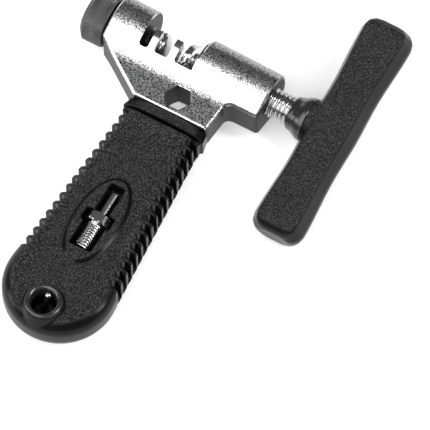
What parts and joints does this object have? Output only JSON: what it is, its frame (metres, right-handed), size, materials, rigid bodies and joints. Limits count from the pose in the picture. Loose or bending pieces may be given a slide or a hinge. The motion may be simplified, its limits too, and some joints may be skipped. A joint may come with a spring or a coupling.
{
  "type": "bicycle chain tool",
  "caption": "Hand tool that presses rivets out of a bicycle chain: cradle head with a threaded press pin, T-handle, knurled back-up screw and a rubber grip holding a spare pin.",
  "frame": {"origin": "middle of the bottom of the tool's box, the tool lying on its back", "axes": "+X along both screws from the knurled knob to the T-handle, +Y from the grip to the head, +Z out of the front face"},
  "size_m": [0.0996, 0.1518, 0.0268],
  "materials": {
    "cast_chrome": "satin chrome plate over grit-blasted casting",
    "bright_steel": "bright turned steel",
    "pin_steel": "hardened, ground",
    "black_oxide": "black oxide, oiled",
    "knob_oxide": "black oxide over diamond knurl",
    "grip_rubber": "fine moulded grain",
    "eyelet_plastic": "smooth gloss",
    "hub_plastic": "smooth gloss",
    "handle_plastic": "coarse moulded pebble"
  },
  "bodies": {
    "tool_body": {"head_casting": "cast_chrome", "grip_sleeve": "grip_rubber", "recess_eyelet": "eyelet_plastic", "stow_peg": "bright_steel"},
    "press_pin": {"drive_pin_carrier": "bright_steel", "drive_pin_tip": "pin_steel"},
    "drive_handle": {"drive_screw": "bright_steel", "handle_hub": "hub_plastic", "t_handle": "handle_plastic"},
    "clamp_foot": {"clamp_nose": "bright_steel"},
    "clamp_spindle": {"clamp_screw": "black_oxide", "clamp_knob": "knob_oxide"},
    "spare_pin": {"spare_pin_carrier": "bright_steel", "spare_pin_tip": "pin_steel"}
  },
  "joints": [
    {"name": "drive_turn", "type": "hinge", "parent": "press_pin", "child": "drive_handle", "pos_m": [0.01818, 0.0355, 0.01342], "axis": [-1, 0, 0], "range_deg": [-2880.3, 1116.3]},
    {"name": "drive_advance", "type": "slide", "parent": "tool_body", "child": "press_pin", "axis": [-1, 0, 0], "range_m": [-0.012, 0.00465]},
    {"name": "clamp_turn", "type": "hinge", "parent": "clamp_foot", "child": "clamp_spindle", "pos_m": [-0.04093, 0.0355, 0.01342], "axis": [1, 0, 0], "range_deg": [-2160.3, 90.3]},
    {"name": "clamp_advance", "type": "slide", "parent": "tool_body", "child": "clamp_foot", "axis": [1, 0, 0], "range_m": [-0.009, 0.00038]},
    {"name": "spare_pin_lift", "type": "slide", "parent": "tool_body", "child": "spare_pin", "axis": [0, 0, 1], "range_m": [0, 0.015]}
  ],
  "couplings": [
    {"joint": "drive_turn", "follows": "drive_advance", "rad_per_m": 4188.8},
    {"joint": "clamp_turn", "follows": "clamp_advance", "rad_per_m": 4188.8}
  ]
}
